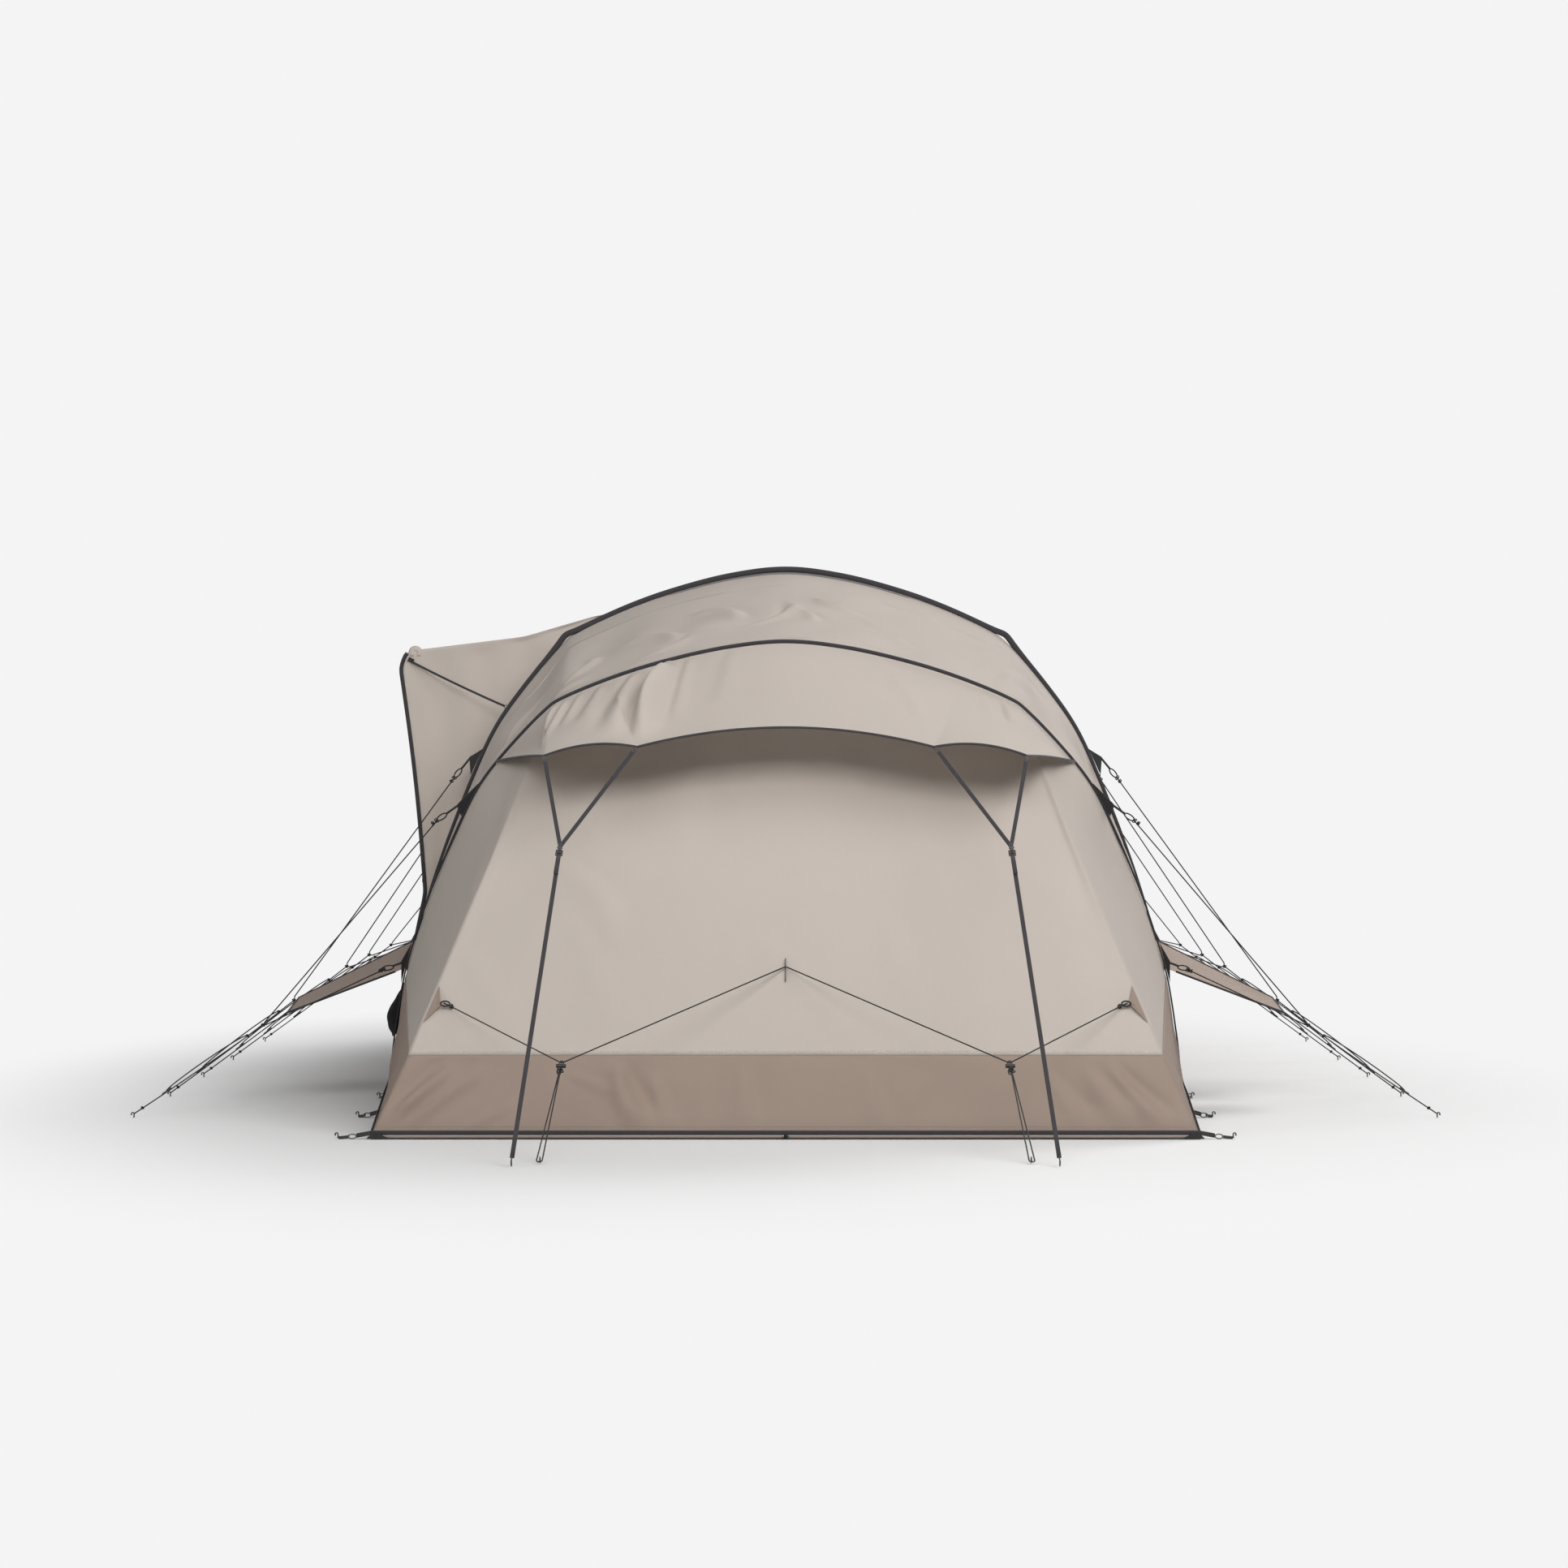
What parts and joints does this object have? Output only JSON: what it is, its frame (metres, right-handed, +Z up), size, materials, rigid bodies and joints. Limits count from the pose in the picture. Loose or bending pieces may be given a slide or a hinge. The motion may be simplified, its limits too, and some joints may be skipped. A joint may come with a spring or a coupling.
{
  "type": "inflatable tunnel tent",
  "caption": "Inflatable tunnel tent with air-beam arches, leaning end walls, vent hood, side porch with a door, pitched side flaps, hood straps and adjustable guy lines.",
  "frame": {"origin": "middle of the footprint on the ground, between the hood straps' pegs and the far base edge", "axes": "+Z up, +Y along the tent from the hooded near end to the far end, +X to the right as seen from the near end; the porch is on -X"},
  "size_m": [5.156, 6.969, 2.2],
  "materials": {
    "beige_canvas": "light beige woven polyester, matt",
    "brown_canvas": "brown woven polyester, matt",
    "black_fabric": "black woven fabric",
    "webbing": "charcoal woven webbing",
    "cord": "black braided cord, with dark pegs",
    "plastic": "black moulded plastic",
    "steel": "dark plated",
    "beam_sleeve": "grey sleeve over an air bladder",
    "ground_sheet": "coated woven sheet"
  },
  "bodies": {
    "tent": {"air_beam_1": "beam_sleeve", "air_beam_2": "beam_sleeve", "air_beam_3": "beam_sleeve", "air_beam_4": "beam_sleeve", "air_beam_5": "beam_sleeve", "air_line": "plastic", "bay_panel_1": "beige_canvas", "bay_panel_2": "beige_canvas", "bay_panel_3": "beige_canvas", "bay_panel_4": "beige_canvas", "far_end_skirt": "brown_canvas", "far_end_wall": "beige_canvas", "front_bridle": "cord", "front_line_left": "cord", "front_line_right": "cord", "groundsheet": "ground_sheet", "guy_line_left_1": "cord", "guy_line_left_2": "cord", "guy_line_left_3": "cord", "guy_line_left_4": "cord", "guy_line_left_5": "cord", "guy_line_right_1": "cord", "guy_line_right_2": "cord", "guy_line_right_3": "cord", "guy_line_right_4": "cord", "guy_line_right_5": "cord", "hood_strap_left": "webbing", "hood_strap_right": "webbing", "near_end_skirt": "brown_canvas", "near_end_wall": "beige_canvas", "side_porch": "beige_canvas", "side_skirt_left": "brown_canvas", "side_skirt_right": "brown_canvas", "valve_body": "plastic", "valve_pouch": "black_fabric", "vent_hood": "beige_canvas"},
    "door": {"door_panel": "beige_canvas"},
    "door_zip": {"zip_slider": "steel"},
    "cap": {"valve_cap": "plastic"},
    "flap_left": {"side_flap_left": "brown_canvas"},
    "buckle_left": {"hood_buckle_left": "plastic"},
    "runner_left": {"front_runner_left": "plastic"},
    "slider_left_1": {"guy_slider_left_1": "plastic"},
    "slider_left_2": {"guy_slider_left_2": "plastic"},
    "slider_left_3": {"guy_slider_left_3": "plastic"},
    "slider_left_4": {"guy_slider_left_4": "plastic"},
    "slider_left_5": {"guy_slider_left_5": "plastic"},
    "flap_right": {"side_flap_right": "brown_canvas"},
    "buckle_right": {"hood_buckle_right": "plastic"},
    "runner_right": {"front_runner_right": "plastic"},
    "slider_right_1": {"guy_slider_right_1": "plastic"},
    "slider_right_2": {"guy_slider_right_2": "plastic"},
    "slider_right_3": {"guy_slider_right_3": "plastic"},
    "slider_right_4": {"guy_slider_right_4": "plastic"},
    "slider_right_5": {"guy_slider_right_5": "plastic"}
  },
  "joints": [
    {"name": "door_hinge", "type": "hinge", "parent": "tent", "child": "door", "pos_m": [-1.64766, 0.3242, 0.91], "axis": [0, 0, -1], "range_deg": [0, 95]},
    {"name": "door_zip_slide", "type": "slide", "parent": "tent", "child": "door_zip", "axis": [-0.111, 0, 0.9938], "range_m": [0, 0.75]},
    {"name": "cap_turn", "type": "hinge", "parent": "tent", "child": "cap", "pos_m": [-1.59805, -0.71601, 0.3628], "axis": [-0.9828, -0.0329, 0.1819], "continuous": true},
    {"name": "flap_left_hinge", "type": "hinge", "parent": "tent", "child": "flap_left", "pos_m": [-1.53355, -0.72879, 0.60617], "axis": [0, -0.9783, -0.2074], "range_deg": [0, 38]},
    {"name": "buckle_left_slide", "type": "slide", "parent": "tent", "child": "buckle_left", "axis": [-0.0845, -0.6562, -0.7498], "range_m": [0, 0.6]},
    {"name": "runner_left_slide", "type": "slide", "parent": "tent", "child": "runner_left", "axis": [-0.0613, -0.9126, -0.4042], "range_m": [0, 0.15]},
    {"name": "slider_left_1_slide", "type": "slide", "parent": "tent", "child": "slider_left_1", "axis": [0.8055, 0.2093, 0.5543], "range_m": [-0.08, 0.35]},
    {"name": "slider_left_2_slide", "type": "slide", "parent": "tent", "child": "slider_left_2", "axis": [0.8018, 0, 0.5976], "range_m": [-0.08, 0.35]},
    {"name": "slider_left_3_slide", "type": "slide", "parent": "tent", "child": "slider_left_3", "axis": [0.7998, -0.013, 0.6002], "range_m": [-0.08, 0.35]},
    {"name": "slider_left_4_slide", "type": "slide", "parent": "tent", "child": "slider_left_4", "axis": [0.7998, 0, 0.6002], "range_m": [-0.08, 0.35]},
    {"name": "slider_left_5_slide", "type": "slide", "parent": "tent", "child": "slider_left_5", "axis": [0.7616, -0.3218, 0.5625], "range_m": [-0.08, 0.35]},
    {"name": "flap_right_hinge", "type": "hinge", "parent": "tent", "child": "flap_right", "pos_m": [1.53355, -0.72879, 0.60617], "axis": [0, 0.9783, 0.2074], "range_deg": [0, 38]},
    {"name": "buckle_right_slide", "type": "slide", "parent": "tent", "child": "buckle_right", "axis": [0.0845, -0.6562, -0.7498], "range_m": [0, 0.6]},
    {"name": "runner_right_slide", "type": "slide", "parent": "tent", "child": "runner_right", "axis": [0.0613, -0.9126, -0.4042], "range_m": [0, 0.15]},
    {"name": "slider_right_1_slide", "type": "slide", "parent": "tent", "child": "slider_right_1", "axis": [-0.8055, 0.2093, 0.5543], "range_m": [-0.08, 0.35]},
    {"name": "slider_right_2_slide", "type": "slide", "parent": "tent", "child": "slider_right_2", "axis": [-0.8018, 0, 0.5976], "range_m": [-0.08, 0.35]},
    {"name": "slider_right_3_slide", "type": "slide", "parent": "tent", "child": "slider_right_3", "axis": [-0.7998, -0.013, 0.6002], "range_m": [-0.08, 0.35]},
    {"name": "slider_right_4_slide", "type": "slide", "parent": "tent", "child": "slider_right_4", "axis": [-0.7998, 0, 0.6002], "range_m": [-0.08, 0.35]},
    {"name": "slider_right_5_slide", "type": "slide", "parent": "tent", "child": "slider_right_5", "axis": [-0.7616, -0.3218, 0.5625], "range_m": [-0.08, 0.35]}
  ]
}
